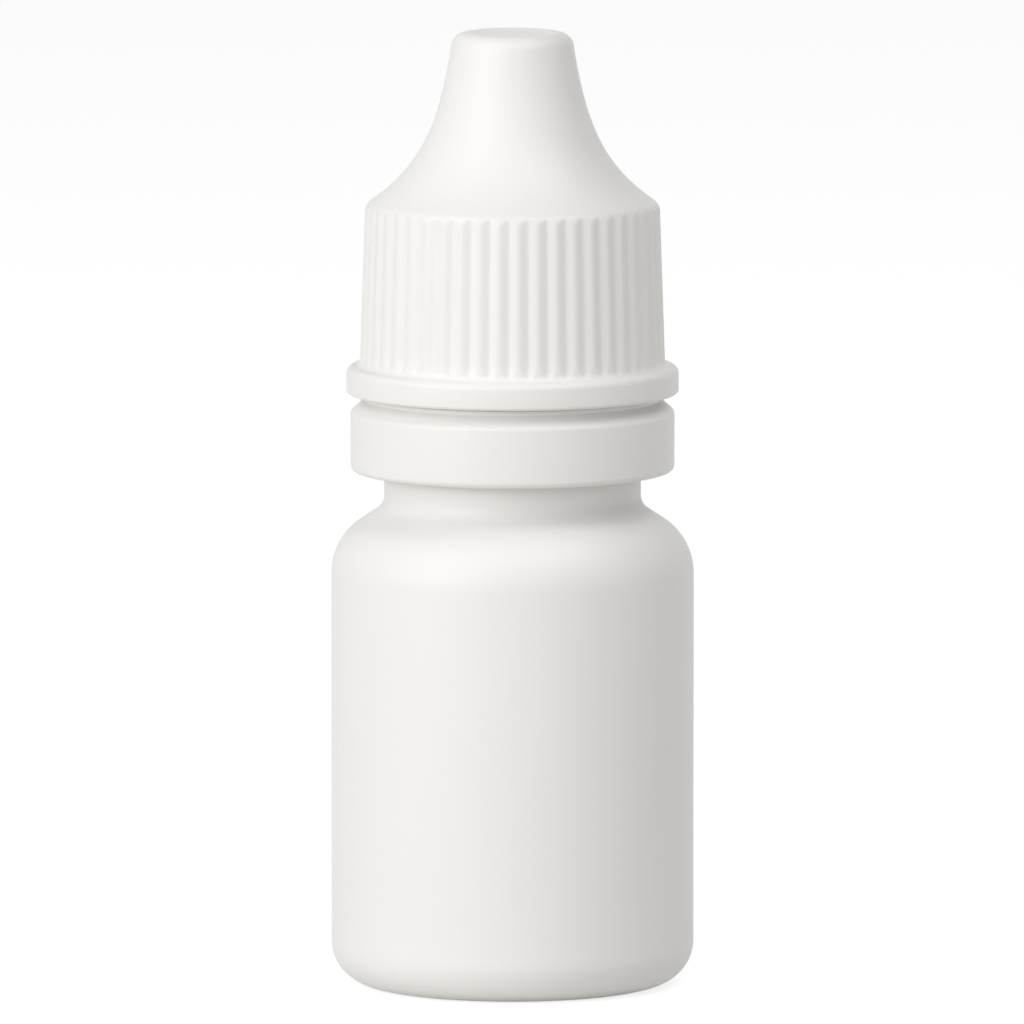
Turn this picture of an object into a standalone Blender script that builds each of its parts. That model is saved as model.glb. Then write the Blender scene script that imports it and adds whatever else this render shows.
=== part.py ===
# Ear drop bottle of 10 ml: a squeezable bottle, a press-in dropper, a ribbed screw cap and its tamper band.
# Metres, +Z up. The bottle stands on z = 0, every piece is turned about the Z axis, and -Y is the front.
import bpy
import bmesh
from math import cos, pi, radians, sin, sqrt, tan
from mathutils import Vector
from mathutils.geometry import interpolate_bezier

# Gap that a piece keeps to the one it seats on
CLEARANCE = 0.0003

# Bottle body
BODY_RADIUS = 0.0125
BODY_WALL = 0.0010
BODY_HEIGHT = 0.03085
BASE_THICKNESS = 0.0012
BASE_FILLET = 0.0030
STANDING_RING_WIDTH = 0.0010
PUSH_UP_HEIGHT = 0.0008
SHOULDER_ANGLE = radians(33.3)
SHOULDER_FILLET = 0.0043

# Bottle neck
NECK_RADIUS = 0.00885
NECK_WALL = 0.0015
NECK_FILLET = 0.00125
NECK_SHOWN = 0.00235
FINISH_STEP = 0.00095
FINISH_WALL = 0.0014
BEAD_PROJECTION = 0.0007
BEAD_HEIGHT = 0.0005
BEAD_RAMP = 0.0018
MOUTH_CHAMFER = 0.0003

# Tamper band
BAND_WALL = 0.00131
BAND_HEIGHT = 0.0051
BAND_TOP_LAND = 0.0002
BAND_TOP_SLOPE = radians(41)
BAND_TOP_FILLET = 0.0005
BAND_FOOT_FILLET = 0.00044
LIP_HEIGHT = 0.0013
LIP_CHAMFER = 0.0003
LIP_PLAY = 0.00035
LIP_DROP = 0.0004
BRIDGE_COUNT = 6
BRIDGE_CLOCKING = radians(-15)
BRIDGE_ROOT = 0.0003
BRIDGE_NECK = 0.0002
BRIDGE_SUNK = 0.0006
BRIDGE_INSET = 0.0001
BAND_GAP = 0.0003

# Screw cap, outside
FLANGE_OVERHANG = 0.0003
FLANGE_HEIGHT = 0.00181
FLANGE_TOP_SLOPE = 0.00014
FLANGE_TOP_FILLET = 0.00067
FLANGE_FOOT_FILLET = 0.0003
SKIRT_WALL = 0.00115
SKIRT_DRAFT = 0.00037
SKIRT_HEIGHT = 0.01103
SKIRT_TOP_FILLET = 0.0007
NOSE_HEIGHT = 0.01194
NOSE_TOP_RADIUS = 0.00408
NOSE_TOP_FILLET = 0.00115
NOSE_RIM = 0.0012
NOSE_DISH_DEPTH = 0.0001
NOSE_DISH_RAMP = 0.0004
NOSE_SWEEP_IN = 0.00402
NOSE_SWEEP_RISE = 0.00266
NOSE_TAPER_OUT = 0.0009
NOSE_TAPER_LENGTH = 0.00632

# Ribs round the cap's skirt
RIB_COUNT = 48
RIB_DEPTH = 0.00026
RIB_CLOCKING = radians(2.45)
RIB_FOOT_RUN = 0.00045
RIB_HEAD_RUN = 0.00025
RIB_FOOT_MARGIN = 0.0004
RIB_HEAD_MARGIN = 0.0004
RIB_FACETS = 4
RIB_END_ROWS = (1.0, 0.35)

# Screw cap, inside
THREAD_SPACE = 0.0011
CAP_ROOF_THICKNESS = 0.0011
FLANGE_WALL = 0.00176
COUNTERBORE_DEPTH = 0.0012
NOSE_WALL = 0.0012
NOSE_CAVITY_FILLET = 0.0004
NOSE_CAVITY_FOOT_RADIUS = 0.0061
NOSE_CAVITY_WAIST_RADIUS = 0.0038
NOSE_CAVITY_WAIST_DEPTH = 0.0042
PIN_RADIUS = 0.00065
PIN_TIP_RADIUS = 0.00035
PIN_LENGTH = 0.0016

# Dropper
DROPPER_FLANGE_THICKNESS = 0.0011
DROPPER_SKIRT_LENGTH = 0.0068
DROPPER_SKIRT_WALL = 0.0009
DROPPER_BEAD = 0.0002
DROPPER_BEAD_COUNT = 2
DROPPER_BEAD_PITCH = 0.0022
DROPPER_LEAD_IN = 0.0006
DROPPER_LEAD_IN_DEPTH = 0.0003
NOZZLE_FOOT_RADIUS = 0.0040
NOZZLE_FOOT_FILLET = 0.0008
NOZZLE_TIP_RADIUS = 0.0019
NOZZLE_TIP_FILLET = 0.0005
NOZZLE_HEADROOM = 0.0009
NOZZLE_WALL = 0.0010
CHANNEL_RADIUS = 0.00045
CHANNEL_LENGTH = 0.0016
OUTLET_RADIUS = 0.00125
OUTLET_DEPTH = 0.0016

# Facets
BOTTLE_STEPS = 48
BAND_STEPS = 48
BORE_STEPS = 48
DROPPER_STEPS = 32
BRIDGE_SIDES = 8
ARC_STEPS = 4
NOSE_STEPS = 9
SHARP_ANGLE = radians(32)
WELD_DISTANCE = 1e-7

# Radii that follow from the sizes above
BODY_BORE = BODY_RADIUS - BODY_WALL
NECK_BORE = NECK_RADIUS - NECK_WALL
FINISH_RADIUS = NECK_RADIUS - FINISH_STEP
FINISH_BORE = FINISH_RADIUS - FINISH_WALL
BEAD_RADIUS = NECK_RADIUS + BEAD_PROJECTION
LIP_RADIUS = NECK_RADIUS + LIP_PLAY
BAND_BORE = BEAD_RADIUS + CLEARANCE
BAND_RADIUS = BAND_BORE + BAND_WALL
FLANGE_RADIUS = BAND_RADIUS + FLANGE_OVERHANG
COUNTERBORE_RADIUS = FLANGE_RADIUS - FLANGE_WALL
CAP_BORE_RADIUS = FINISH_RADIUS + THREAD_SPACE
SKIRT_TOP_RADIUS = CAP_BORE_RADIUS + SKIRT_WALL
SKIRT_FOOT_RADIUS = SKIRT_TOP_RADIUS + SKIRT_DRAFT
DROPPER_SKIRT_RADIUS = FINISH_BORE - CLEARANCE - DROPPER_BEAD

# Heights that follow
SHOULDER_TOP_Z = BODY_HEIGHT + (BODY_RADIUS - NECK_RADIUS) * tan(SHOULDER_ANGLE)
BAND_BOTTOM_Z = SHOULDER_TOP_Z + NECK_SHOWN
BAND_TOP_Z = BAND_BOTTOM_Z + BAND_HEIGHT
CAP_FOOT_Z = BAND_TOP_Z + BAND_GAP
FLANGE_TOP_Z = CAP_FOOT_Z + FLANGE_HEIGHT
SKIRT_FOOT_Z = FLANGE_TOP_Z + FLANGE_TOP_SLOPE
SKIRT_TOP_Z = SKIRT_FOOT_Z + SKIRT_HEIGHT
CAP_TOP_Z = SKIRT_TOP_Z + NOSE_HEIGHT
CAP_ROOF_Z = SKIRT_TOP_Z - CAP_ROOF_THICKNESS
NOSE_CEILING_Z = CAP_TOP_Z - NOSE_WALL
DROPPER_FLANGE_TOP_Z = CAP_ROOF_Z - CLEARANCE
DROPPER_FLANGE_FOOT_Z = DROPPER_FLANGE_TOP_Z - DROPPER_FLANGE_THICKNESS
LAND_Z = DROPPER_FLANGE_FOOT_Z - CLEARANCE
NOZZLE_TIP_Z = NOSE_CEILING_Z - NOZZLE_HEADROOM
LIP_TOP_Z = BAND_BOTTOM_Z + LIP_HEIGHT
BEAD_FOOT_Z = LIP_TOP_Z + LIP_DROP

parts = None
cutters = None


def clear_scene():
    for obj in list(bpy.data.objects):
        bpy.data.objects.remove(obj, do_unlink=True)


def new_collection(name):
    collection = bpy.data.collections.new(name)
    bpy.context.scene.collection.children.link(collection)
    return collection


def plastic(name, colour, roughness):
    material = bpy.data.materials.new(name)
    material.use_nodes = True
    surface = material.node_tree.nodes["Principled BSDF"]
    surface.inputs["Base Color"].default_value = (*colour, 1.0)
    surface.inputs["Roughness"].default_value = roughness
    surface.inputs["Metallic"].default_value = 0.0
    return material


def rounded(corners):
    # Corners are (radius, height) or (radius, height, fillet), and each fillet becomes a short arc.
    points = []
    for i, (r, z, *fillet) in enumerate(corners):
        here = Vector((r, z))
        if not fillet or i in (0, len(corners) - 1):
            points.append(here)
            continue
        back = (Vector(corners[i - 1][:2]) - here).normalized()
        ahead = (Vector(corners[i + 1][:2]) - here).normalized()
        opening = back.angle(ahead)
        middle = here + (back + ahead).normalized() * fillet[0] / sin(opening / 2)
        start = here + back * fillet[0] / tan(opening / 2) - middle
        sweep = start.angle_signed(here + ahead * fillet[0] / tan(opening / 2) - middle)
        for k in range(ARC_STEPS + 1):
            turn = -sweep * k / ARC_STEPS
            points.append(middle + Vector((start.x * cos(turn) - start.y * sin(turn),
                                           start.x * sin(turn) + start.y * cos(turn))))
    return points


def turned(name, outline, steps, ring=False):
    # A turned piece: the outline goes up the inside and down the outside, and a ring's outline is closed.
    mesh = bpy.data.meshes.new(name)
    edges = [(i, i + 1) for i in range(len(outline) - 1)]
    if ring:
        edges.append((len(outline) - 1, 0))
    mesh.from_pydata([(p[0], 0.0, p[1]) for p in outline], edges, [])
    obj = bpy.data.objects.new(name, mesh)
    screw = obj.modifiers.new("turn", "SCREW")
    screw.steps = steps
    screw.render_steps = steps
    screw.use_merge_vertices = True
    screw.merge_threshold = WELD_DISTANCE
    return obj


def settle(obj):
    # Keep the evaluated mesh, shaded smooth except at its real edges.
    depsgraph = bpy.context.evaluated_depsgraph_get()
    mesh = bpy.data.meshes.new_from_object(obj.evaluated_get(depsgraph))
    obj.modifiers.clear()
    obj.data = mesh
    mesh.shade_smooth()
    mesh.set_sharp_from_angle(angle=SHARP_ANGLE)


def as_cutter(obj):
    cutters.objects.link(obj)
    obj.display_type = "WIRE"
    obj.hide_render = True
    return obj


def make_bottle():
    ring_outer = BODY_RADIUS - BASE_FILLET
    ring_inner = ring_outer - STANDING_RING_WIDTH
    push_up_radius = ring_inner - PUSH_UP_HEIGHT
    floor_z = PUSH_UP_HEIGHT + BASE_THICKNESS
    slope = tan(SHOULDER_ANGLE)
    drop = BODY_WALL / cos(SHOULDER_ANGLE)
    inner_corner_z = BODY_HEIGHT + BODY_WALL * slope - drop
    inner_top_z = BODY_HEIGHT + (BODY_RADIUS - NECK_BORE) * slope - drop
    ramp_foot_z = BEAD_FOOT_Z + BEAD_HEIGHT
    ramp_top_z = ramp_foot_z + BEAD_RAMP
    inside = [
        (0.0, floor_z),
        (push_up_radius, floor_z),
        (ring_inner, BASE_THICKNESS),
        (BODY_BORE, BASE_THICKNESS, BASE_FILLET - BODY_WALL),
        (BODY_BORE, inner_corner_z, SHOULDER_FILLET - BODY_WALL),
        (NECK_BORE, inner_top_z, NECK_FILLET),
        (NECK_BORE, ramp_foot_z),
        (FINISH_BORE, ramp_top_z),
        (FINISH_BORE, LAND_Z - MOUTH_CHAMFER),
        (FINISH_BORE + MOUTH_CHAMFER, LAND_Z),
    ]
    outside = [
        (FINISH_RADIUS - MOUTH_CHAMFER, LAND_Z),
        (FINISH_RADIUS, LAND_Z - MOUTH_CHAMFER),
        (FINISH_RADIUS, ramp_top_z),
        (BEAD_RADIUS, ramp_foot_z),
        (BEAD_RADIUS, BEAD_FOOT_Z),
        (NECK_RADIUS, BEAD_FOOT_Z),
        (NECK_RADIUS, SHOULDER_TOP_Z, NECK_FILLET),
        (BODY_RADIUS, BODY_HEIGHT, SHOULDER_FILLET),
        (BODY_RADIUS, 0.0, BASE_FILLET),
        (ring_inner, 0.0),
        (push_up_radius, PUSH_UP_HEIGHT),
        (0.0, PUSH_UP_HEIGHT),
    ]
    bottle = turned("bottle", rounded(inside + outside), BOTTLE_STEPS)
    bottle.data.materials.append(plastic("bottle_ldpe", (0.88, 0.88, 0.86), 0.42))
    parts.objects.link(bottle)
    settle(bottle)
    return bottle


def make_dropper():
    skirt_foot_z = DROPPER_FLANGE_FOOT_Z - DROPPER_SKIRT_LENGTH
    skirt_bore = DROPPER_SKIRT_RADIUS - DROPPER_SKIRT_WALL
    funnel_foot = NOZZLE_FOOT_RADIUS - NOZZLE_WALL
    outlet_foot_z = NOZZLE_TIP_Z - OUTLET_DEPTH
    channel_foot_z = outlet_foot_z - CHANNEL_LENGTH
    inside = [
        (skirt_bore, skirt_foot_z),
        (skirt_bore, DROPPER_FLANGE_FOOT_Z),
        (funnel_foot, DROPPER_FLANGE_TOP_Z),
        (CHANNEL_RADIUS, channel_foot_z),
        (CHANNEL_RADIUS, outlet_foot_z),
        (OUTLET_RADIUS, NOZZLE_TIP_Z),
    ]
    outside = [
        (NOZZLE_TIP_RADIUS, NOZZLE_TIP_Z, NOZZLE_TIP_FILLET),
        (NOZZLE_FOOT_RADIUS, DROPPER_FLANGE_TOP_Z, NOZZLE_FOOT_FILLET),
        (FINISH_RADIUS, DROPPER_FLANGE_TOP_Z),
        (FINISH_RADIUS, DROPPER_FLANGE_FOOT_Z),
        (DROPPER_SKIRT_RADIUS, DROPPER_FLANGE_FOOT_Z),
    ]
    # Sealing beads stand out from the skirt, and its last stretch leads it into the neck.
    for k in range(DROPPER_BEAD_COUNT):
        bead_z = DROPPER_FLANGE_FOOT_Z - (k + 1) * DROPPER_BEAD_PITCH
        outside += [
            (DROPPER_SKIRT_RADIUS, bead_z + DROPPER_BEAD),
            (DROPPER_SKIRT_RADIUS + DROPPER_BEAD, bead_z),
            (DROPPER_SKIRT_RADIUS, bead_z - DROPPER_BEAD),
        ]
    outside += [
        (DROPPER_SKIRT_RADIUS, skirt_foot_z + DROPPER_LEAD_IN),
        (DROPPER_SKIRT_RADIUS - DROPPER_LEAD_IN_DEPTH, skirt_foot_z),
    ]
    dropper = turned("dropper_plug", rounded(inside + outside), DROPPER_STEPS, ring=True)
    dropper.data.materials.append(plastic("dropper_ldpe", (0.86, 0.86, 0.84), 0.38))
    parts.objects.link(dropper)
    settle(dropper)
    return dropper


def nose_curve():
    # The nose flares in one curve from its top edge down to the skirt's top corner.
    top = Vector((NOSE_TOP_RADIUS, CAP_TOP_Z))
    corner = Vector((SKIRT_TOP_RADIUS, SKIRT_TOP_Z))
    below_top = top + Vector((NOSE_TAPER_OUT, -NOSE_TAPER_LENGTH))
    above_corner = corner + Vector((-NOSE_SWEEP_IN, NOSE_SWEEP_RISE))
    return interpolate_bezier(top, below_top, above_corner, corner, NOSE_STEPS + 1)


def cut_ribs(obj):
    # The skirt's rows get more facets, and every row between the rib ends is drawn in between the ribs.
    head_z = SKIRT_TOP_Z + RIB_HEAD_MARGIN
    foot_z = SKIRT_FOOT_Z + RIB_FOOT_MARGIN
    slack = WELD_DISTANCE
    bm = bmesh.new()
    bm.from_mesh(obj.data)
    rows = {}
    for vert in bm.verts:
        if foot_z - slack <= vert.co.z <= head_z + slack:
            rows[round(vert.co.z, 7)] = vert.co.xy.length
    around = [e for e in bm.edges
              if round(e.verts[0].co.z, 7) in rows and abs(e.verts[0].co.z - e.verts[1].co.z) < slack]
    bmesh.ops.subdivide_edges(bm, edges=around, cuts=RIB_FACETS - 1, use_grid_fill=True)
    for vert in bm.verts:
        radius = rows.get(round(vert.co.z, 7))
        if radius is None:
            continue
        from_end = min((head_z - vert.co.z) / RIB_HEAD_RUN, (vert.co.z - foot_z) / RIB_FOOT_RUN)
        share = sqrt(max(0.0, 1 - (1 - min(1.0, from_end)) ** 2))
        angle = Vector((1, 0)).angle_signed(vert.co.xy)
        valley = sin(angle * RIB_COUNT / 2) ** 2
        across = vert.co.xy.normalized()
        vert.co.xy = across * (radius - RIB_DEPTH * valley * share)
    bm.to_mesh(obj.data)
    bm.free()


def make_cap():
    head_z = SKIRT_TOP_Z + RIB_HEAD_MARGIN
    foot_z = SKIRT_FOOT_Z + RIB_FOOT_MARGIN
    wall_slope = SKIRT_DRAFT / SKIRT_HEIGHT

    def wall_radius(z):
        return SKIRT_TOP_RADIUS + (SKIRT_TOP_Z - z) * wall_slope

    # A shallow dish in the top, then the nose's rounded edge.
    dish_radius = NOSE_TOP_RADIUS - NOSE_RIM
    upper = [
        (0.0, CAP_TOP_Z - NOSE_DISH_DEPTH),
        (dish_radius - NOSE_DISH_RAMP, CAP_TOP_Z - NOSE_DISH_DEPTH),
        (dish_radius, CAP_TOP_Z),
        (NOSE_TOP_RADIUS, CAP_TOP_Z, NOSE_TOP_FILLET),
    ]
    # The first and last stretches of the nose curve give way to the fillets at its ends.
    above_ribs = [(p.x, p.y) for p in nose_curve()[2:-1] if p.y > head_z]
    slope_in = (SKIRT_TOP_RADIUS - above_ribs[-1][0]) / (above_ribs[-1][1] - SKIRT_TOP_Z)
    skirt = [
        (SKIRT_TOP_RADIUS - (head_z - SKIRT_TOP_Z) * slope_in, head_z),
        (SKIRT_TOP_RADIUS, SKIRT_TOP_Z, SKIRT_TOP_FILLET),
    ]
    for share in RIB_END_ROWS:
        row_z = foot_z + RIB_FOOT_RUN * share
        skirt.append((wall_radius(row_z), row_z))
    skirt += [(wall_radius(foot_z), foot_z), (SKIRT_FOOT_RADIUS, SKIRT_FOOT_Z)]
    flange = [
        (FLANGE_RADIUS, FLANGE_TOP_Z, FLANGE_TOP_FILLET),
        (FLANGE_RADIUS, CAP_FOOT_Z, FLANGE_FOOT_FILLET),
        (0.0, CAP_FOOT_Z),
    ]
    cap = turned("screw_cap", rounded(upper + above_ribs + skirt + flange), RIB_COUNT)
    cap.data.materials.append(plastic("cap_pp", (0.90, 0.90, 0.89), 0.36))
    cap.rotation_euler.z = RIB_CLOCKING
    parts.objects.link(cap)
    settle(cap)
    cut_ribs(cap)
    cut = cap.modifiers.new("hollow", "BOOLEAN")
    cut.operation = "DIFFERENCE"
    cut.object = make_cap_hollow()
    settle(cap)
    return cap


def make_cap_hollow():
    waist_z = NOSE_CEILING_Z - NOSE_CAVITY_WAIST_DEPTH
    ceiling_radius = NOSE_TOP_RADIUS - NOSE_WALL
    mouth_z = CAP_FOOT_Z + COUNTERBORE_DEPTH
    overrun = CAP_FOOT_Z - COUNTERBORE_DEPTH
    outline = [
        (0.0, NOSE_CEILING_Z - PIN_LENGTH),
        (PIN_TIP_RADIUS, NOSE_CEILING_Z - PIN_LENGTH),
        (PIN_RADIUS, NOSE_CEILING_Z),
        (ceiling_radius, NOSE_CEILING_Z, NOSE_CAVITY_FILLET),
        (NOSE_CAVITY_WAIST_RADIUS, waist_z),
        (NOSE_CAVITY_FOOT_RADIUS, CAP_ROOF_Z),
        (CAP_BORE_RADIUS, CAP_ROOF_Z),
        (CAP_BORE_RADIUS, mouth_z),
        (COUNTERBORE_RADIUS, mouth_z - (COUNTERBORE_RADIUS - CAP_BORE_RADIUS)),
        (COUNTERBORE_RADIUS, overrun),
        (0.0, overrun),
    ]
    hollow = as_cutter(turned("cap_hollow", rounded(outline), BORE_STEPS))
    hollow.rotation_euler.z = RIB_CLOCKING
    return hollow


def make_band():
    slope_foot_z = BAND_TOP_Z - (BAND_WALL - BAND_TOP_LAND) * tan(BAND_TOP_SLOPE)
    outline = [
        (LIP_RADIUS + LIP_CHAMFER, BAND_BOTTOM_Z),
        (LIP_RADIUS, BAND_BOTTOM_Z + LIP_CHAMFER),
        (LIP_RADIUS, LIP_TOP_Z),
        (BAND_BORE, LIP_TOP_Z),
        (BAND_BORE, BAND_TOP_Z),
        (BAND_BORE + BAND_TOP_LAND, BAND_TOP_Z),
        (BAND_RADIUS, slope_foot_z, BAND_TOP_FILLET),
        (BAND_RADIUS, BAND_BOTTOM_Z, BAND_FOOT_FILLET),
        (LIP_RADIUS + LIP_CHAMFER + BAND_FOOT_FILLET, BAND_BOTTOM_Z),
    ]
    band = turned("tamper_band", rounded(outline), BAND_STEPS, ring=True)
    band.data.materials.append(plastic("band_pp", (0.90, 0.90, 0.89), 0.36))
    parts.objects.link(band)
    join = band.modifiers.new("bridges", "BOOLEAN")
    join.operation = "UNION"
    join.operand_type = "COLLECTION"
    join.collection = make_bridges()
    settle(band)
    return band


def make_bridges():
    # The thin bridges that held the band to the cap until it was first opened, torn off short of the cap.
    # They stand on the band's sloped top, just outside its bore.
    bridges = bpy.data.collections.new("bridges")
    cutters.children.link(bridges)
    foot_z = BAND_TOP_Z - BRIDGE_SUNK
    height = CAP_FOOT_Z - CLEARANCE - foot_z
    circle = BAND_BORE + BRIDGE_INSET + BRIDGE_ROOT
    for k in range(BRIDGE_COUNT):
        angle = BRIDGE_CLOCKING + 2 * pi * k / BRIDGE_COUNT
        place = (circle * cos(angle), circle * sin(angle), foot_z + height / 2)
        bpy.ops.mesh.primitive_cone_add(vertices=BRIDGE_SIDES, radius1=BRIDGE_ROOT, radius2=BRIDGE_NECK,
                                        depth=height, location=place, rotation=(0, 0, angle))
        bridge = bpy.context.object
        bridge.name = f"bridge_{k + 1}"
        bridge.display_type = "WIRE"
        bridge.hide_render = True
        for owner in list(bridge.users_collection):
            owner.objects.unlink(bridge)
        bridges.objects.link(bridge)
    return bridges


clear_scene()
parts = new_collection("ear_drop_bottle")
cutters = new_collection("cutters")
make_bottle()
make_dropper()
make_cap()
make_band()
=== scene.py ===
from math import ceil, cos, pi, radians, sin, tan

import bpy
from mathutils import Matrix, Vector
from mathutils.geometry import interpolate_bezier


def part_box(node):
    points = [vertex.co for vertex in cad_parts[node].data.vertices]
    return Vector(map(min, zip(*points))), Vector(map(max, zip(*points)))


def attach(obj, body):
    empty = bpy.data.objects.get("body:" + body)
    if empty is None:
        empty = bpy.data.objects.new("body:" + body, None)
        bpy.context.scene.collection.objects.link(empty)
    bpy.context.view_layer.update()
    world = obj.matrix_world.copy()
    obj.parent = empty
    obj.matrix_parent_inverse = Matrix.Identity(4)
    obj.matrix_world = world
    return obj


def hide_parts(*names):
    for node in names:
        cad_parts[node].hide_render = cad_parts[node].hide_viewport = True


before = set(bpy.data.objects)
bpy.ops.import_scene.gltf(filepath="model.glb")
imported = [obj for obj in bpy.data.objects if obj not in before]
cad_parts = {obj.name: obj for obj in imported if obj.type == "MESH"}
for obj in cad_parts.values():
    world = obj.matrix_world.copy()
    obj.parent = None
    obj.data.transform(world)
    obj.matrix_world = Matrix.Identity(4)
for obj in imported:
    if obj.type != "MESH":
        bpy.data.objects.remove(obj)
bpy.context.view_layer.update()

# Looks of a white ear drop bottle: the bottle, its dropper, the ribbed screw cap and the tamper band.
# Sizes below are in millimetres and outlines are (radius, height). -Y is the front, and +Z is up.

mm = 0.001


def nodeBox(node):
    low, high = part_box(node)
    return low / mm, high / mm


bottleHigh = nodeBox("bottle")[1]
dropperLow, dropperHigh = nodeBox("dropper_plug")
capLow, capHigh = nodeBox("screw_cap")
bandLow, bandHigh = nodeBox("tamper_band")


# Outlines and turned meshes

outlineDetail = {
    "arcFacet": 6.0,       # degrees of a fillet that one facet takes
    "hiddenFacet": 22.5,   # the same inside the cap
    "sharpAngle": 30.0,    # edges that turn more than this stay crisp, in degrees
    "weld": 1e-7,          # metres
    "leastRadius": 1e-6,   # metres, what a point on the axis counts as having
}


def softened(corners, facet=outlineDetail["arcFacet"]):
    # Corners are (radius, height) or (radius, height, fillet), and each fillet becomes an arc.
    outline = []
    for i, (r, z, *fillet) in enumerate(corners):
        corner = Vector((r, z))
        if not fillet or i in (0, len(corners) - 1):
            outline.append((r, z))
            continue
        back = (Vector(corners[i - 1][:2]) - corner).normalized()
        ahead = (Vector(corners[i + 1][:2]) - corner).normalized()
        opening = back.angle(ahead)
        middle = corner + (back + ahead).normalized() * fillet[0] / sin(opening / 2)
        start = corner + back * fillet[0] / tan(opening / 2) - middle
        end = corner + ahead * fillet[0] / tan(opening / 2) - middle
        sweep = start.angle_signed(end)
        facets = max(2, ceil(abs(sweep) / radians(facet)))
        for k in range(facets + 1):
            turn = -sweep * k / facets
            outline.append((middle.x + start.x * cos(turn) - start.y * sin(turn),
                            middle.y + start.x * sin(turn) + start.y * cos(turn)))
    return outline


def withRows(outline, low, high, longest):
    # Adds rows between two heights, for what is raised or cut there later.
    finer = [outline[0]]
    for here, there in zip(outline, outline[1:]):
        rise = there[1] - here[1]
        if abs(rise) > longest:
            enter, leave = sorted(((low - here[1]) / rise, (high - here[1]) / rise))
            enter = max(enter, 0.0)
            leave = min(leave, 1.0)
            if leave > enter:
                pieces = ceil(abs(rise) * (leave - enter) / longest)
                shares = [enter + (leave - enter) * k / pieces for k in range(pieces + 1)]
                finer += [(here[0] + (there[0] - here[0]) * share, here[1] + rise * share)
                          for share in shares if 0.0 < share < 1.0]
        finer.append(there)
    return finer


def turned(name, outline, steps, clocking=0.0, ring=False):
    # The outline goes down the outside and up the inside, and a ring's outline is closed.
    mesh = bpy.data.meshes.new(name)
    rows = [(r * mm * cos(clocking), r * mm * sin(clocking), z * mm) for r, z in outline]
    edges = [(i, i + 1) for i in range(len(rows) - 1)]
    if ring:
        edges.append((len(rows) - 1, 0))
    mesh.from_pydata(rows, edges, [])
    obj = bpy.data.objects.new(name, mesh)
    bpy.context.scene.collection.objects.link(obj)
    screw = obj.modifiers.new("turn", "SCREW")
    screw.steps = steps
    screw.render_steps = steps
    screw.use_merge_vertices = True
    screw.merge_threshold = outlineDetail["weld"]
    return obj


def settle(obj):
    # Turns the modifiers' result into the piece's own mesh.
    evaluated = obj.evaluated_get(bpy.context.evaluated_depsgraph_get())
    mesh = bpy.data.meshes.new_from_object(evaluated)
    obj.modifiers.clear()
    obj.data = mesh
    mesh.shade_smooth()
    mesh.set_sharp_from_angle(angle=radians(outlineDetail["sharpAngle"]))
    print(f"{obj.name}: {len(mesh.polygons)} faces")


# Geometry Nodes trees

def newTree(name, counts, sizes):
    # One named input for each count and size, and a material that the tree's end sets.
    tree = bpy.data.node_groups.new(name, "GeometryNodeTree")
    tree.interface.new_socket("Geometry", in_out="INPUT", socket_type="NodeSocketGeometry")
    for label in counts:
        tree.interface.new_socket(label, in_out="INPUT", socket_type="NodeSocketInt")
    for label in sizes:
        tree.interface.new_socket(label, in_out="INPUT", socket_type="NodeSocketFloat")
    tree.interface.new_socket("Material", in_out="INPUT", socket_type="NodeSocketMaterial")
    tree.interface.new_socket("Geometry", in_out="OUTPUT", socket_type="NodeSocketGeometry")
    return tree, tree.nodes.new("NodeGroupInput").outputs


def endTree(tree, geometry, inputs):
    realize = tree.nodes.new("GeometryNodeRealizeInstances")
    paint = tree.nodes.new("GeometryNodeSetMaterial")
    tree.links.new(geometry, realize.inputs["Geometry"])
    tree.links.new(realize.outputs[0], paint.inputs["Geometry"])
    tree.links.new(inputs["Material"], paint.inputs["Material"])
    tree.links.new(paint.outputs[0], tree.nodes.new("NodeGroupOutput").inputs[0])


def useTree(obj, tree, sizes, material):
    modifier = obj.modifiers.new(tree.name, "NODES")
    modifier.node_group = tree
    values = dict(sizes, Material=material)
    for socket in tree.interface.items_tree:
        if socket.in_out == "INPUT" and socket.name in values:
            modifier[socket.identifier] = values[socket.name]


def calc(tree, operation, *values):
    node = tree.nodes.new("ShaderNodeMath")
    node.operation = operation
    for socket, value in zip(node.inputs, values):
        if isinstance(value, (int, float)):
            socket.default_value = value
        else:
            tree.links.new(value, socket)
    return node.outputs[0]


def clipped(tree, value):
    # The value held between 0 and 1
    return calc(tree, "MINIMUM", calc(tree, "MAXIMUM", value, 0.0), 1.0)


def roundPlace(tree):
    # Each point's own place, its distance from the axis and its angle round it
    place = tree.nodes.new("GeometryNodeInputPosition")
    parts = tree.nodes.new("ShaderNodeSeparateXYZ")
    tree.links.new(place.outputs[0], parts.inputs[0])
    x, y, z = parts.outputs
    squares = calc(tree, "ADD", calc(tree, "MULTIPLY", x, x), calc(tree, "MULTIPLY", y, y))
    return x, y, z, calc(tree, "SQRT", squares), calc(tree, "ARCTAN2", y, x)


def moveOut(tree, geometry, x, y, radius, distance):
    # Moves each point away from the axis by the distance.
    ratio = calc(tree, "DIVIDE", distance, calc(tree, "MAXIMUM", radius, outlineDetail["leastRadius"]))
    offset = tree.nodes.new("ShaderNodeCombineXYZ")
    tree.links.new(calc(tree, "MULTIPLY", x, ratio), offset.inputs["X"])
    tree.links.new(calc(tree, "MULTIPLY", y, ratio), offset.inputs["Y"])
    move = tree.nodes.new("GeometryNodeSetPosition")
    tree.links.new(geometry, move.inputs["Geometry"])
    tree.links.new(offset.outputs[0], move.inputs["Offset"])
    return move.outputs[0]


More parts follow.
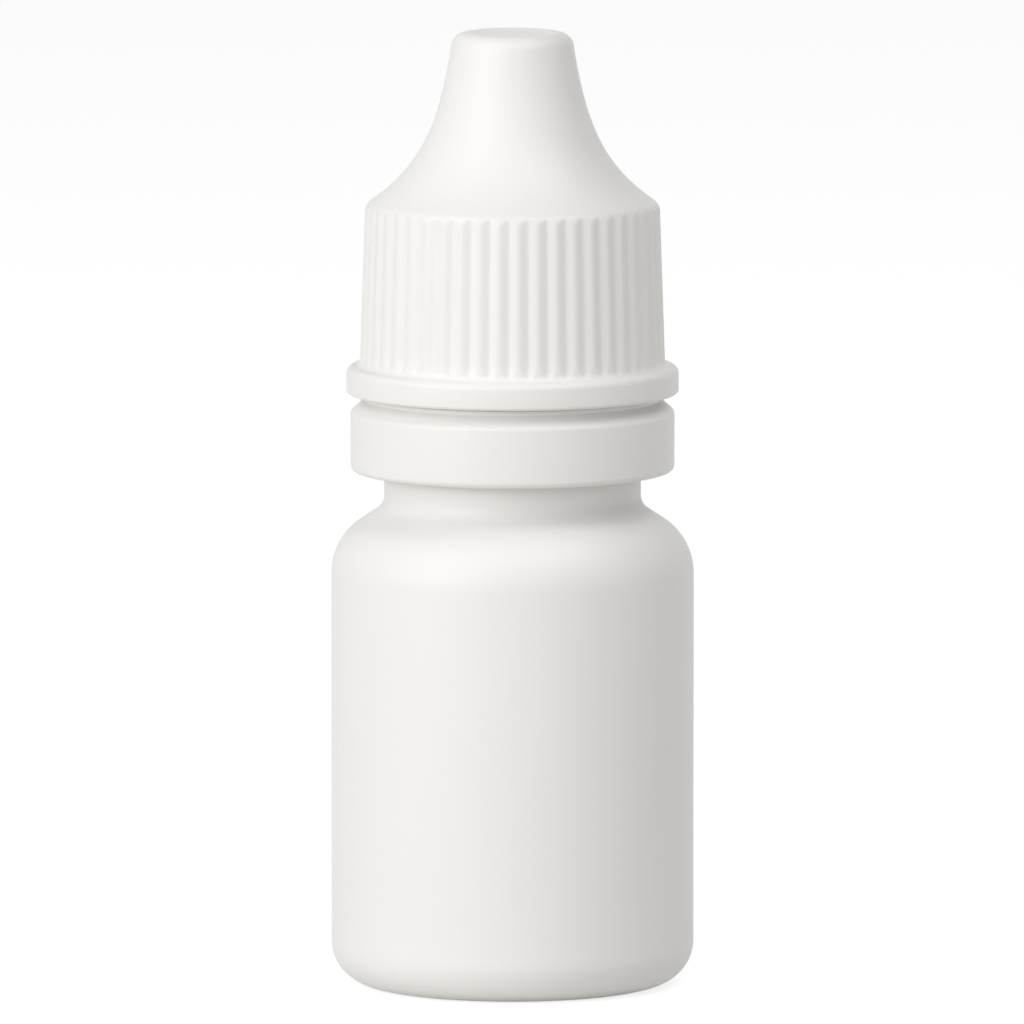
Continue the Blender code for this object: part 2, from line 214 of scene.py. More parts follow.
def makeRibTree():
    # Grooves parallel to the skirt's wall, between ribs with straight flanks and broad round crests.
    # At the head they end where the cap's top edge rounds inwards, and at the foot in arches.
    tree, inputs = newTree("capRibs", ["Count"], [
        "Depth", "Clocking", "Foot", "Foot Run", "Wall Radius", "Draft", "Edge", "Crest", "Groove"])
    x, y, z, radius, angle = roundPlace(tree)
    turns = calc(tree, "MULTIPLY", calc(tree, "SUBTRACT", angle, inputs["Clocking"]), inputs["Count"])
    flank = calc(tree, "PINGPONG", calc(tree, "DIVIDE", turns, pi), 1.0)
    crest = calc(tree, "SMOOTH_MAX", flank, inputs["Crest"], inputs["Crest"])
    sunk = calc(tree, "SUBTRACT", 1.0, inputs["Groove"])
    rounded = calc(tree, "SUBTRACT", calc(tree, "SMOOTH_MIN", crest, sunk, inputs["Groove"]), inputs["Crest"])
    below = calc(tree, "DIVIDE", rounded, calc(tree, "SUBTRACT", sunk, inputs["Crest"]))
    climbed = calc(tree, "SUBTRACT", z, inputs["Foot"])
    left = calc(tree, "SUBTRACT", 1.0, clipped(tree, calc(tree, "DIVIDE", climbed, inputs["Foot Run"])))
    arch = calc(tree, "SQRT", calc(tree, "SUBTRACT", 1.0, calc(tree, "MULTIPLY", left, left)))
    groove = calc(tree, "MAXIMUM", calc(tree, "ADD", arch, calc(tree, "SUBTRACT", below, 1.0)), 0.0)
    depth = calc(tree, "MULTIPLY", groove, inputs["Depth"])
    wall = calc(tree, "SUBTRACT", inputs["Wall Radius"], calc(tree, "MULTIPLY", climbed, inputs["Draft"]))
    proud = calc(tree, "SUBTRACT", radius, calc(tree, "SUBTRACT", wall, depth))
    cut = calc(tree, "MINIMUM", depth, calc(tree, "SMOOTH_MAX", proud, 0.0, inputs["Edge"]))
    moved = moveOut(tree, inputs["Geometry"], x, y, radius, calc(tree, "MULTIPLY", cut, -1.0))
    endTree(tree, moved, inputs)
    return tree


def makeThreadTree():
    # A right-handed thread on a plain wall of the root radius, with its two ends run out.
    tree, inputs = newTree("screwThread", [], [
        "Root", "Slack", "Height", "Start", "Lead", "Turns", "Crest", "Flank", "Run Out", "Round"])
    x, y, z, radius, angle = roundPlace(tree)
    turn = calc(tree, "ADD", calc(tree, "DIVIDE", angle, 2 * pi), 0.5)   # 0 to 1 round the axis
    climbed = calc(tree, "DIVIDE", calc(tree, "SUBTRACT", z, inputs["Start"]), inputs["Lead"])
    along = calc(tree, "SUBTRACT", climbed, turn)
    nearest = calc(tree, "ROUND", along)
    turnsOff = calc(tree, "ABSOLUTE", calc(tree, "SUBTRACT", along, nearest))
    off = calc(tree, "MULTIPLY", turnsOff, inputs["Lead"])
    half = calc(tree, "ADD", calc(tree, "DIVIDE", inputs["Crest"], 2.0), inputs["Flank"])
    flank = clipped(tree, calc(tree, "DIVIDE", calc(tree, "SUBTRACT", half, off), inputs["Flank"]))
    fromStart = calc(tree, "ADD", nearest, turn)
    toEnd = calc(tree, "MINIMUM", fromStart, calc(tree, "SUBTRACT", inputs["Turns"], fromStart))
    runOut = clipped(tree, calc(tree, "DIVIDE", toEnd, inputs["Run Out"]))
    onWall = calc(tree, "COMPARE", radius, inputs["Root"], inputs["Slack"])
    section = clipped(tree, calc(tree, "SMOOTH_MIN", flank, runOut, inputs["Round"]))
    raised = calc(tree, "MULTIPLY", calc(tree, "MULTIPLY", section, onWall), inputs["Height"])
    endTree(tree, moveOut(tree, inputs["Geometry"], x, y, radius, raised), inputs)
    return tree


def makeBridgeTree():
    # Thin bridges on a circle, joined to the band as one solid.
    tree, inputs = newTree("bandBridges", ["Count", "Sides"], [
        "Clocking", "Circle", "Root", "Neck", "Foot", "Length"])
    circle = tree.nodes.new("GeometryNodeMeshCircle")
    tree.links.new(inputs["Count"], circle.inputs["Vertices"])
    tree.links.new(inputs["Circle"], circle.inputs["Radius"])
    cone = tree.nodes.new("GeometryNodeMeshCone")
    tree.links.new(inputs["Sides"], cone.inputs["Vertices"])
    tree.links.new(inputs["Neck"], cone.inputs["Radius Top"])
    tree.links.new(inputs["Root"], cone.inputs["Radius Bottom"])
    tree.links.new(inputs["Length"], cone.inputs["Depth"])
    lift = tree.nodes.new("ShaderNodeCombineXYZ")
    tree.links.new(inputs["Foot"], lift.inputs["Z"])
    turn = tree.nodes.new("ShaderNodeCombineXYZ")
    tree.links.new(inputs["Clocking"], turn.inputs["Z"])
    raised = tree.nodes.new("GeometryNodeTransform")
    tree.links.new(circle.outputs[0], raised.inputs["Geometry"])
    tree.links.new(lift.outputs[0], raised.inputs["Translation"])
    tree.links.new(turn.outputs[0], raised.inputs["Rotation"])
    copies = tree.nodes.new("GeometryNodeInstanceOnPoints")
    tree.links.new(raised.outputs[0], copies.inputs["Points"])
    tree.links.new(cone.outputs["Mesh"], copies.inputs["Instance"])
    whole = tree.nodes.new("GeometryNodeRealizeInstances")
    tree.links.new(copies.outputs[0], whole.inputs[0])
    join = tree.nodes.new("GeometryNodeMeshBoolean")
    join.operation = "UNION"
    join.solver = "EXACT"
    tree.links.new(inputs["Geometry"], join.inputs["Mesh 2"])
    tree.links.new(whole.outputs[0], join.inputs["Mesh 2"])
    endTree(tree, join.outputs[0], inputs)
    return tree


# Finishes

noiseDetail = {"Grain Size": 4.0, "Cloud Size": 2.0, "Gloss Size": 3.0}


def makeSkin():
    # What every moulding here has: a fine mould grain, faint clouds of tone, and gloss that wanders.
    skin = bpy.data.node_groups.new("mouldedSkin", "ShaderNodeTree")
    for label in ("Grain Size", "Cloud Size", "Gloss Size", "Stretch", "Roughness", "Roughness Range"):
        skin.interface.new_socket(label, in_out="INPUT", socket_type="NodeSocketFloat")
    for label in ("Cloud", "Roughness", "Grain"):
        skin.interface.new_socket(label, in_out="OUTPUT", socket_type="NodeSocketFloat")
    inputs = skin.nodes.new("NodeGroupInput").outputs
    outputs = skin.nodes.new("NodeGroupOutput").inputs
    place = skin.nodes.new("ShaderNodeTexCoord").outputs["Object"]
    drawn = skin.nodes.new("ShaderNodeCombineXYZ")
    drawn.inputs["X"].default_value = 1.0
    drawn.inputs["Y"].default_value = 1.0
    skin.links.new(inputs["Stretch"], drawn.inputs["Z"])
    stretched = skin.nodes.new("ShaderNodeVectorMath")
    stretched.operation = "MULTIPLY"
    skin.links.new(place, stretched.inputs[0])
    skin.links.new(drawn.outputs[0], stretched.inputs[1])

    def noise(label):
        texture = skin.nodes.new("ShaderNodeTexNoise")
        texture.inputs["Detail"].default_value = noiseDetail[label]
        skin.links.new(stretched.outputs[0], texture.inputs["Vector"])
        skin.links.new(calc(skin, "DIVIDE", 1.0, inputs[label]), texture.inputs["Scale"])
        return texture.outputs["Fac"]

    wander = calc(skin, "SUBTRACT", noise("Gloss Size"), 0.5)
    rough = calc(skin, "ADD", inputs["Roughness"], calc(skin, "MULTIPLY", wander, inputs["Roughness Range"]))
    skin.links.new(noise("Cloud Size"), outputs["Cloud"])
    skin.links.new(rough, outputs["Roughness"])
    skin.links.new(noise("Grain Size"), outputs["Grain"])
    return skin


def makePlastic(name, look, skin):
    material = bpy.data.materials.new(name)
    material.use_nodes = True
    nodes = material.node_tree.nodes
    links = material.node_tree.links
    surface = nodes["Principled BSDF"]
    surface.inputs["IOR"].default_value = look["ior"]
    surface.inputs["Specular IOR Level"].default_value = look["specular"]
    finish = nodes.new("ShaderNodeGroup")
    finish.node_tree = skin
    finish.inputs["Grain Size"].default_value = look["grainSize"] * mm
    finish.inputs["Cloud Size"].default_value = look["cloudSize"] * mm
    finish.inputs["Gloss Size"].default_value = look["glossSize"] * mm
    finish.inputs["Stretch"].default_value = look["stretch"]
    finish.inputs["Roughness"].default_value = look["roughness"]
    finish.inputs["Roughness Range"].default_value = look["roughnessRange"]
    colour = nodes.new("ShaderNodeMix")   # its colours are inputs 6 and 7 and output 2
    colour.data_type = "RGBA"
    colour.inputs[6].default_value = (*look["shade"], 1.0)
    colour.inputs[7].default_value = (*look["colour"], 1.0)
    links.new(finish.outputs["Cloud"], colour.inputs[0])
    links.new(colour.outputs[2], surface.inputs["Base Color"])
    links.new(finish.outputs["Roughness"], surface.inputs["Roughness"])
    bump = nodes.new("ShaderNodeBump")
    bump.inputs["Strength"].default_value = look["grain"]
    bump.inputs["Distance"].default_value = look["grainDepth"] * mm
    links.new(finish.outputs["Grain"], bump.inputs["Height"])
    links.new(bump.outputs["Normal"], surface.inputs["Normal"])
    return material


bottlePlastic = {
    "colour": (0.832, 0.824, 0.803),
    "shade": (0.818, 0.809, 0.787),
    "roughness": 0.42,
    "roughnessRange": 0.07,
    "ior": 1.51,
    "specular": 0.28,
    "grain": 0.25,
    "grainSize": 0.16,
    "grainDepth": 0.010,
    "cloudSize": 7.0,
    "glossSize": 2.5,
    "stretch": 0.55,
}

capPlastic = dict(
    bottlePlastic,
    colour=(0.828, 0.820, 0.801),
    shade=(0.814, 0.806, 0.786),
    roughness=0.40,
    grain=0.18,
    grainSize=0.12,
    cloudSize=9.0,
    stretch=0.8,
)

bandPlastic = dict(capPlastic, roughness=0.41)

dropperPlastic = dict(
    bottlePlastic,
    colour=(0.86, 0.855, 0.835),
    shade=(0.84, 0.835, 0.812),
    roughness=0.36,
    grain=0.12,
    grainSize=0.1,
    stretch=1.0,
)

skin = makeSkin()
bottleFinish = makePlastic("bottlePlastic", bottlePlastic, skin)
dropperFinish = makePlastic("dropperPlastic", dropperPlastic, skin)
capFinish = makePlastic("capPlastic", capPlastic, skin)
bandFinish = makePlastic("bandPlastic", bandPlastic, skin)
print("finishes made")


# Thread that the neck and the cap share

thread = {
    "lead": 3.0,
    "crest": 0.45,
    "flank": 0.40,
    "runOut": 0.07,     # turns
    "round": 0.15,      # how softly the run-outs join the flanks
    "slack": 0.05,      # how far from the root radius a point still counts as the wall
    "margin": 0.15,     # plain wall below and above it, in short rows
    "rowStep": 0.2,
}

threadTree = makeThreadTree()


def threadReach(start, turns):
    # Heights a little below and above the whole thread
    beyond = thread["crest"] / 2 + thread["flank"] + thread["margin"]
    return start - beyond, start + turns * thread["lead"] + beyond


def threadSizes(root, height, start, turns):
    return {
        "Root": root * mm,
        "Slack": thread["slack"] * mm,
        "Height": height * mm,
        "Start": start * mm,
        "Lead": thread["lead"] * mm,
        "Turns": turns,
        "Crest": thread["crest"] * mm,
        "Flank": thread["flank"] * mm,
        "Run Out": thread["runOut"],
        "Round": thread["round"],
    }


# Bottle

bottle = {
    "wall": 1.0,
    "shoulderCorner": 30.85,   # height where the wall's line meets the shoulder's
    "shoulderAngle": 33.3,     # degrees
    "shoulderFillet": 4.3,
    "baseThickness": 1.2,
    "baseFillet": 3.0,
    "standingRing": 1.0,
    "pushUp": 0.8,
    "pushUpFillet": 0.5,
    "ringFillet": 0.35,
    "neckRadius": 8.85,
    "neckWall": 1.5,
    "neckFillet": 1.25,
    "beadOut": 0.7,
    "beadHeight": 0.5,
    "beadFillet": 0.12,
    "rampHeight": 1.8,
    "beadDrop": 0.4,           # the bead's foot stands this far above the band's lip
    "lipHeight": 1.3,          # of the band's lip
    "finishRadius": 7.9,
    "finishWall": 1.4,
    "mouthFillet": 0.3,
    "threadHeight": 0.75,
    "threadBelowMouth": 6.9,
    "threadTurns": 1.4,
    "steps": 240,
}


def makeBottle():
    b = bottle
    radius = bottleHigh.x
    mouth = bottleHigh.z
    bore = radius - b["wall"]
    neckBore = b["neckRadius"] - b["neckWall"]
    finishBore = b["finishRadius"] - b["finishWall"]
    ringOuter = radius - b["baseFillet"]
    ringInner = ringOuter - b["standingRing"]
    pushUpRadius = ringInner - b["pushUp"]
    slope = tan(radians(b["shoulderAngle"]))
    drop = b["wall"] / cos(radians(b["shoulderAngle"]))
    shoulderTop = b["shoulderCorner"] + (radius - b["neckRadius"]) * slope
    innerCorner = b["shoulderCorner"] + b["wall"] * slope - drop
    innerTop = b["shoulderCorner"] + (radius - neckBore) * slope - drop
    beadFoot = bandLow.z + b["lipHeight"] + b["beadDrop"]
    rampFoot = beadFoot + b["beadHeight"]
    rampTop = rampFoot + b["rampHeight"]
    threadFoot = mouth - b["threadBelowMouth"]
    outline = softened([
        (0.0, b["pushUp"] + b["baseThickness"]),
        (pushUpRadius, b["pushUp"] + b["baseThickness"], b["pushUpFillet"]),
        (ringInner, b["baseThickness"], b["ringFillet"]),
        (bore, b["baseThickness"], b["baseFillet"] - b["wall"]),
        (bore, innerCorner, b["shoulderFillet"] - b["wall"]),
        (neckBore, innerTop, b["neckFillet"]),
        (neckBore, rampFoot, b["neckFillet"]),
        (finishBore, rampTop, b["neckFillet"]),
        (finishBore, mouth, b["mouthFillet"]),
        (b["finishRadius"], mouth, b["mouthFillet"]),
        (b["finishRadius"], rampTop, b["ringFillet"]),
        (b["neckRadius"] + b["beadOut"], rampFoot, b["beadFillet"]),
        (b["neckRadius"] + b["beadOut"], beadFoot, b["beadFillet"]),
        (b["neckRadius"], beadFoot, b["beadFillet"]),
        (b["neckRadius"], shoulderTop, b["neckFillet"]),
        (radius, b["shoulderCorner"], b["shoulderFillet"]),
        (radius, 0.0, b["baseFillet"]),
        (ringInner, 0.0, b["ringFillet"]),
        (pushUpRadius, b["pushUp"], b["pushUpFillet"]),
        (0.0, b["pushUp"]),
    ])
    outline = withRows(outline, *threadReach(threadFoot, b["threadTurns"]), thread["rowStep"])
    body = turned("bottleShell", outline, b["steps"])
    sizes = threadSizes(b["finishRadius"], b["threadHeight"], threadFoot, b["threadTurns"])
    useTree(body, threadTree, sizes, bottleFinish)
    settle(body)
    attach(body, "bottle")
    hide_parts("bottle")


makeBottle()


# Dropper

dropper = {
    "flange": 1.1,
    "flangeFillet": 0.2,
    "skirtRadius": 6.0,
    "skirtWall": 0.9,
    "bead": 0.2,
    "beadHalf": 0.24,       # half the height of a bead
    "beadFillet": 0.1,
    "beadCount": 2,
    "beadPitch": 2.2,
    "leadIn": 0.6,
    "leadInDepth": 0.3,
    "nozzleFoot": 4.0,
    "footFillet": 0.8,
    "tipRadius": 1.9,
    "tipFillet": 0.5,
    "nozzleWall": 1.0,
    "channelRadius": 0.45,
    "channelLength": 1.6,
    "outletRadius": 1.25,
    "outletDepth": 1.6,
    "outletFillet": 0.15,
    "seatGap": 0.3,
    "steps": 144,
}


def makeDropper():
    d = dropper
    flangeFoot = bottleHigh.z + d["seatGap"]
    flangeTop = flangeFoot + d["flange"]
    flangeRadius = bottle["finishRadius"]
    skirtFoot = dropperLow.z
    tip = dropperHigh.z
    skirtBore = d["skirtRadius"] - d["skirtWall"]
    channelTop = tip - d["outletDepth"]
    corners = [
        (skirtBore, skirtFoot),
        (skirtBore, flangeFoot, d["footFillet"]),
        (d["nozzleFoot"] - d["nozzleWall"], flangeTop, d["footFillet"]),
        (d["channelRadius"], channelTop - d["channelLength"], d["flangeFillet"]),
        (d["channelRadius"], channelTop, d["flangeFillet"]),
        (d["outletRadius"], tip, d["outletFillet"]),
        (d["tipRadius"], tip, d["tipFillet"]),
        (d["nozzleFoot"], flangeTop, d["footFillet"]),
        (flangeRadius, flangeTop, d["flangeFillet"]),
        (flangeRadius, flangeFoot, d["flangeFillet"]),
        (d["skirtRadius"], flangeFoot),
    ]
    for k in range(d["beadCount"]):
        bead = flangeFoot - (k + 1) * d["beadPitch"]
        corners += [
            (d["skirtRadius"], bead + d["beadHalf"], d["beadFillet"]),
            (d["skirtRadius"] + d["bead"], bead, d["beadFillet"]),
            (d["skirtRadius"], bead - d["beadHalf"], d["beadFillet"]),
        ]
    corners += [
        (d["skirtRadius"], skirtFoot + d["leadIn"]),
        (d["skirtRadius"] - d["leadInDepth"], skirtFoot),
    ]
    plug = turned("dropperShell", softened(corners), d["steps"], ring=True)
    plug.data.materials.append(dropperFinish)
    settle(plug)
    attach(plug, "bottle")
    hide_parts("dropper_plug")


makeDropper()


# Screw cap

cap = {
    "flangeHeight": 1.81,
    "flangeSlope": 0.14,
    "flangeTopFillet": 0.52,
    "flangeFootFillet": 0.25,
    "skirtFootRadius": 10.52,
    "skirtTopRadius": 10.15,
    "skirtHeight": 11.03,
    "skirtTopFillet": 0.95,
    "skirtFootFillet": 0.42,
    "noseTopRadius": 4.08,
    "noseTopFillet": 1.05,
    "noseTaper": (0.9, 6.32),      # pull of the nose's curve below its top, out and down
    "noseSweep": (3.97, 2.70),     # pull of the nose's curve at the skirt, in and up
    "noseSamples": 30,
    "dishDepth": 0.1,
    "dishRim": 1.3,
    "dishRamp": 0.35,
    "dishFillet": 0.5,
    "roof": 1.1,
    "bore": 9.0,
    "counterbore": 9.7,
    "counterboreDepth": 1.2,
    "mouthFillet": 0.15,
    "noseWall": 1.2,
    "cavityFoot": 6.1,
    "waist": 3.8,
    "waistDepth": 4.2,
    "cavityFillet": 0.4,
    "pinRadius": 0.65,
    "pinTip": 0.35,
    "pinLength": 1.6,
    "threadHeight": -0.65,      # below zero, because it stands in from the bore
    "threadAboveFoot": 2.58,    # its flank is just under the flank of the neck's thread
    "threadTurns": 1.9,
    "threadRowStep": 0.3,
    "arcFacet": 8.0,        # degrees
    "steps": 576,
}

ribs = {
    "count": 48,
    "depth": 0.155,
    "clocking": 2.3,        # degrees
    "footMargin": 0.1,      # from the skirt's foot up to the grooves
    "footRun": 1.0,
    "edge": 0.12,
    "crestRound": 0.165,    # half the share of a flank that the crest's rounding takes
    "grooveRound": 0.065,
    "headRows": 0.4,        # the rows are close this far below and above the skirt's top corner
    "rowStep": 0.07,
}

ribTree = makeRibTree()


def noseOutline(skirtTop):
    # One curve from the nose's top edge, past a slim waist, out to the skirt's top corner
    top = Vector((cap["noseTopRadius"], capHigh.z))
    corner = Vector((cap["skirtTopRadius"], skirtTop))
    taperOut, taperDown = cap["noseTaper"]
    sweepIn, sweepUp = cap["noseSweep"]
    points = interpolate_bezier(top, top + Vector((taperOut, -taperDown)),
                                corner + Vector((-sweepIn, sweepUp)), corner, cap["noseSamples"])
    # The ends give way to the fillets there.
    return [(p.x, p.y) for p in points
            if p.y < capHigh.z - cap["noseTopFillet"] and p.x < cap["skirtTopRadius"] - cap["skirtTopFillet"]]


def makeCap():
    c = cap
    flangeRadius = capHigh.x
    foot = capLow.z
    top = capHigh.z
    flangeTop = foot + c["flangeHeight"]
    skirtFoot = flangeTop + c["flangeSlope"]
    skirtTop = skirtFoot + c["skirtHeight"]
    roof = skirtTop - c["roof"]
    ceiling = top - c["noseWall"]
    dish = c["noseTopRadius"] - c["dishRim"]
    mouth = foot + c["counterboreDepth"]
    outside = softened([
        (0.0, top - c["dishDepth"]),
        (dish - c["dishRamp"], top - c["dishDepth"], c["dishFillet"]),
        (dish, top, c["dishFillet"]),
        (c["noseTopRadius"], top, c["noseTopFillet"]),
        *noseOutline(skirtTop),
        (c["skirtTopRadius"], skirtTop, c["skirtTopFillet"]),
        (c["skirtFootRadius"], skirtFoot, c["skirtFootFillet"]),
        (flangeRadius, flangeTop, c["flangeTopFillet"]),
        (flangeRadius, foot, c["flangeFootFillet"]),
        (c["counterbore"], foot),
    ], c["arcFacet"])
    ribFoot = skirtFoot + ribs["footMargin"]
    outside = withRows(outside, skirtTop - ribs["headRows"], skirtTop + ribs["headRows"], ribs["rowStep"])
    outside = withRows(outside, ribFoot, ribFoot + ribs["footRun"], ribs["rowStep"])
    draft = (c["skirtFootRadius"] - c["skirtTopRadius"]) / c["skirtHeight"]
    inside = softened([
        (c["counterbore"], foot),
        (c["counterbore"], mouth - (c["counterbore"] - c["bore"]), c["mouthFillet"]),
        (c["bore"], mouth, c["mouthFillet"]),
        (c["bore"], roof, c["mouthFillet"]),
        (c["cavityFoot"], roof, c["mouthFillet"]),
        (c["waist"], ceiling - c["waistDepth"], c["cavityFillet"]),
        (c["noseTopRadius"] - c["noseWall"], ceiling, c["cavityFillet"]),
        (c["pinRadius"], ceiling, c["mouthFillet"]),
        (c["pinTip"], ceiling - c["pinLength"], c["mouthFillet"]),
        (0.0, ceiling - c["pinLength"]),
    ], outlineDetail["hiddenFacet"])
    threadFoot = foot + c["threadAboveFoot"]
    inside = withRows(inside, *threadReach(threadFoot, c["threadTurns"]), c["threadRowStep"])
    shell = turned("capShell", outside + inside[1:], c["steps"], clocking=radians(ribs["clocking"]))
    useTree(shell, ribTree, {
        "Count": ribs["count"],
        "Depth": ribs["depth"] * mm,
        "Clocking": radians(ribs["clocking"]),
        "Foot": ribFoot * mm,
        "Foot Run": ribs["footRun"] * mm,
        "Wall Radius": (c["skirtFootRadius"] - draft * ribs["footMargin"]) * mm,
        "Draft": draft,
        "Edge": ribs["edge"] * mm,
        "Crest": ribs["crestRound"],
        "Groove": ribs["grooveRound"],
    }, capFinish)
    sizes = threadSizes(c["bore"], c["threadHeight"], threadFoot, c["threadTurns"])
    useTree(shell, threadTree, sizes, capFinish)
    settle(shell)
    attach(shell, "cap")
    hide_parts("screw_cap")


makeCap()


# Tamper band

band = {
    "height": 5.1,
    "topLand": 0.2,
    "rimRadius": 10.22,     # outside of a low rim behind the gap
    "rimHeight": 0.17,
    "topSlope": 41.0,       # degrees
    "topFillet": 0.5,
    "footFillet": 0.44,
    "bore": 9.85,
    "boreFillet": 0.1,
    "lip": 9.2,
    "lipChamfer": 0.3,
    "steps": 240,
}

bridges = {
    "count": 6,
    "clocking": -15.0,      # degrees
    "inset": 0.19,          # from the band's bore to a bridge's middle
    "root": 0.18,
    "neck": 0.12,
    "height": 0.1,          # above the rim
    "sunk": 0.3,            # below the rim's top
    "sides": 16,
}

bridgeTree = makeBridgeTree()


def makeBand():
    b = band
    radius = bandHigh.x
    foot = bandLow.z
    top = foot + b["height"]
    lipTop = foot + bottle["lipHeight"]
    slopeHead = b["bore"] + b["topLand"]
    slopeFoot = top - (radius - slopeHead) * tan(radians(b["topSlope"]))
    rimTop = top + b["rimHeight"]
    outline = softened([
        (b["lip"] + b["lipChamfer"] + b["footFillet"], foot),
        (b["lip"] + b["lipChamfer"], foot, b["boreFillet"]),
        (b["lip"], foot + b["lipChamfer"], b["boreFillet"]),
        (b["lip"], lipTop, b["boreFillet"]),
        (b["bore"], lipTop, b["boreFillet"]),
        (b["bore"], rimTop, b["boreFillet"]),
        (b["rimRadius"], rimTop, b["boreFillet"]),
        (b["rimRadius"], top - (b["rimRadius"] - slopeHead) * tan(radians(b["topSlope"]))),
        (radius, slopeFoot, b["topFillet"]),
        (radius, foot, b["footFillet"]),
        (b["lip"] + b["lipChamfer"] + b["footFillet"], foot),   # the first corner again, which closes it
    ])
    ring = turned("bandShell", outline[:-1], b["steps"], ring=True)
    useTree(ring, bridgeTree, {
        "Count": bridges["count"],
        "Clocking": radians(bridges["clocking"]),
        "Circle": (b["bore"] + bridges["inset"]) * mm,
        "Root": bridges["root"] * mm,
        "Neck": bridges["neck"] * mm,
        "Foot": (rimTop - bridges["sunk"]) * mm,
        "Length": (bridges["sunk"] + bridges["height"]) * mm,
        "Sides": bridges["sides"],
    }, bandFinish)
    settle(ring)
    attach(ring, "band")
    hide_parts("tamper_band")


makeBand()
print("pieces made")


# Stage: a pale floor, a pale room and large soft lamps, the main one at the front left

stage = {
    "floorSize": 8.0,               # metres
    "floorDrop": 0.02,
    "floorColour": (0.76, 0.75, 0.74),
    "floorGlow": 0.80,              # what the camera sees of the floor before the lamps light it
    "floorShown": 0.4,              # share of the lamps' light that shows there, and with it the shadow
    "roomLight": 0.21,
    "roomTint": (1.0, 0.995, 0.985),
    "lampDistance": 0.95,           # metres
}

# Azimuth and elevation in degrees, width and height in metres, power in watts
lamps = {
    "keyPanel": {"azimuth": -46.0, "elevation": 32.0, "width": 0.8, "height": 1.0, "power": 5.35},
    "lowPanel": {"azimuth": -46.0, "elevation": 10.0, "width": 0.8, "height": 0.3, "power": 2.4},
    "fillPanel": {"azimuth": 52.0, "elevation": 60.0, "width": 0.7, "height": 0.5, "power": 2.9},
    "sidePanel": {"azimuth": 72.0, "elevation": 13.0, "width": 0.5, "height": 0.4, "power": 0.8},
}


def seenDirectly(nodes, links):
    # 1 for rays from the camera, in reflections and through clear things
    path = nodes.new("ShaderNodeLightPath").outputs
    seen = path["Is Camera Ray"]
    for ray in ("Is Glossy Ray", "Is Transmission Ray"):
        either = nodes.new("ShaderNodeMath")
        either.operation = "MAXIMUM"
        links.new(seen, either.inputs[0])
        links.new(path[ray], either.inputs[1])
        seen = either.outputs[0]
    return seen


def makeFloor():
    half = stage["floorSize"] / 2
    z = -stage["floorDrop"] * mm
    mesh = bpy.data.meshes.new("floor")
    corners = [(-half, -half, z), (half, -half, z), (half, half, z), (-half, half, z)]
    mesh.from_pydata(corners, [], [(0, 1, 2, 3)])
    floor = bpy.data.objects.new("floor", mesh)
    bpy.context.scene.collection.objects.link(floor)
    material = bpy.data.materials.new("paleFloor")
    material.use_nodes = True
    nodes = material.node_tree.nodes
    links = material.node_tree.links
    nodes.clear()
    plain = nodes.new("ShaderNodeBsdfDiffuse")
    plain.inputs["Color"].default_value = (*stage["floorColour"], 1.0)
    faint = nodes.new("ShaderNodeBsdfDiffuse")
    faint.inputs["Color"].default_value = (*[stage["floorShown"]] * 3, 1.0)
    glow = nodes.new("ShaderNodeEmission")
    glow.inputs["Strength"].default_value = stage["floorGlow"]
    shown = nodes.new("ShaderNodeAddShader")
    links.new(faint.outputs[0], shown.inputs[0])
    links.new(glow.outputs[0], shown.inputs[1])
    mix = nodes.new("ShaderNodeMixShader")
    links.new(seenDirectly(nodes, links), mix.inputs[0])
    links.new(plain.outputs[0], mix.inputs[1])
    links.new(shown.outputs[0], mix.inputs[2])
    links.new(mix.outputs[0], nodes.new("ShaderNodeOutputMaterial").inputs["Surface"])
    mesh.materials.append(material)


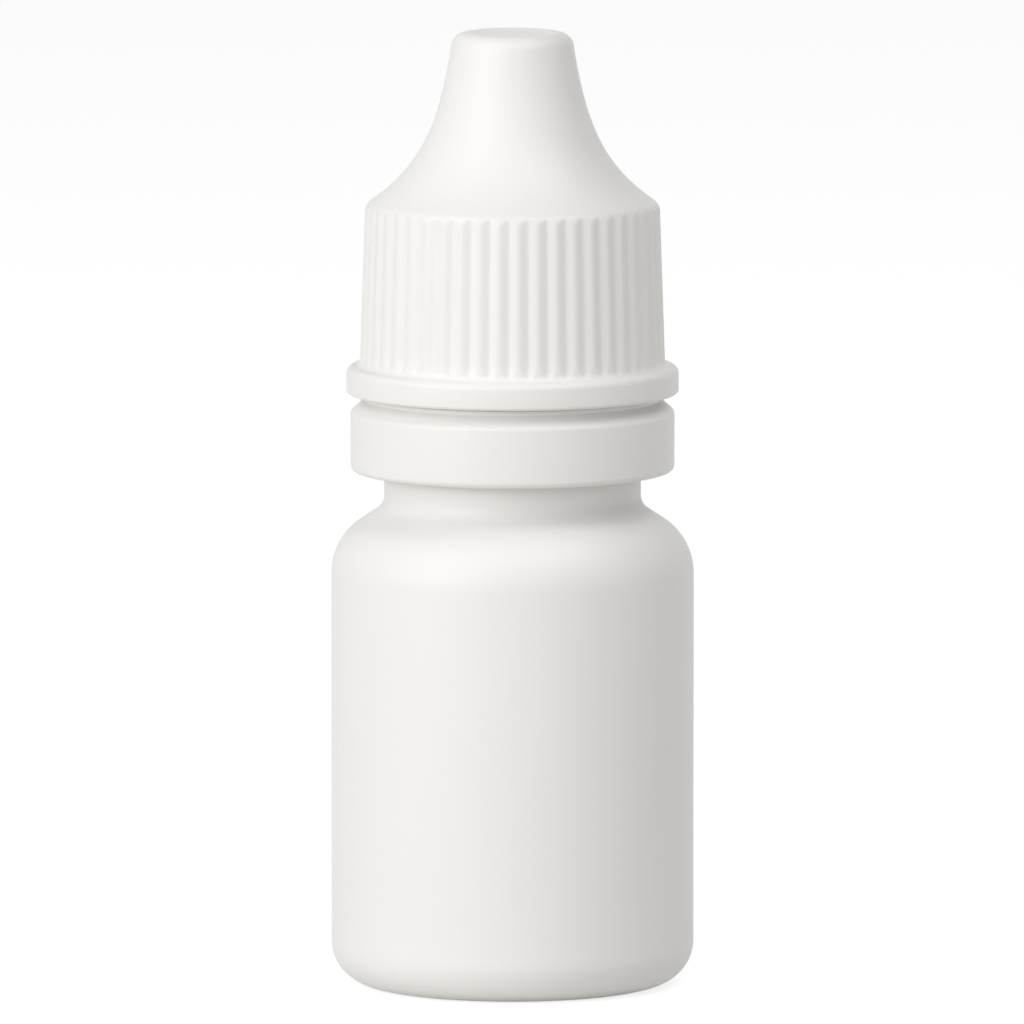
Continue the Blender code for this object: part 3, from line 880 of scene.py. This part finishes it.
def makeRoom():
    world = bpy.data.worlds.new("paleRoom")
    bpy.context.scene.world = world
    world.use_nodes = True
    nodes = world.node_tree.nodes
    links = world.node_tree.links
    nodes.clear()
    light = nodes.new("ShaderNodeBackground")
    light.inputs["Color"].default_value = (*stage["roomTint"], 1.0)
    light.inputs["Strength"].default_value = stage["roomLight"]
    white = nodes.new("ShaderNodeBackground")
    white.inputs["Color"].default_value = (1.0, 1.0, 1.0, 1.0)
    white.inputs["Strength"].default_value = 1.0
    mix = nodes.new("ShaderNodeMixShader")
    links.new(seenDirectly(nodes, links), mix.inputs[0])
    links.new(light.outputs[0], mix.inputs[1])
    links.new(white.outputs[0], mix.inputs[2])
    links.new(mix.outputs[0], nodes.new("ShaderNodeOutputWorld").inputs["Surface"])


def aimed(obj, target, azimuth, elevation, distance):
    # Places an object round the target, looking at it. Azimuth 0 is the front, and grows to the right.
    a = radians(azimuth)
    e = radians(elevation)
    back = Vector((sin(a) * cos(e), -cos(a) * cos(e), sin(e)))
    obj.location = target + back * distance
    obj.rotation_euler = (-back).to_track_quat("-Z", "Y").to_euler()
    bpy.context.scene.collection.objects.link(obj)


def makeLamps():
    middle = Vector((0, 0, capHigh.z / 2 * mm))
    for name, place in lamps.items():
        lamp = bpy.data.lights.new(name, "AREA")
        lamp.shape = "RECTANGLE"
        lamp.size = place["width"]
        lamp.size_y = place["height"]
        lamp.energy = place["power"]
        aimed(bpy.data.objects.new(name, lamp), middle,
              place["azimuth"], place["elevation"], stage["lampDistance"])


camera = {
    "lens": 783.6,
    "sensor": 36.0,
    "distance": 1.536,      # metres
    "elevation": 6.9,       # degrees
    "lookAt": 32.7,         # height above the floor
    "shift": -0.0005,       # share of the frame's width
    "clipEnd": 20.0,        # metres
}


def makeCamera():
    data = bpy.data.cameras.new("camera")
    data.sensor_width = camera["sensor"]
    data.lens = camera["lens"]
    data.shift_x = camera["shift"]
    data.clip_end = camera["clipEnd"]
    obj = bpy.data.objects.new("camera", data)
    aimed(obj, Vector((0, 0, camera["lookAt"] * mm)), 0.0, camera["elevation"], camera["distance"])
    bpy.context.scene.camera = obj


makeFloor()
makeRoom()
makeLamps()
makeCamera()
bpy.context.scene.view_settings.view_transform = "Standard"
print("stage made")

bpy.context.view_layer.update()
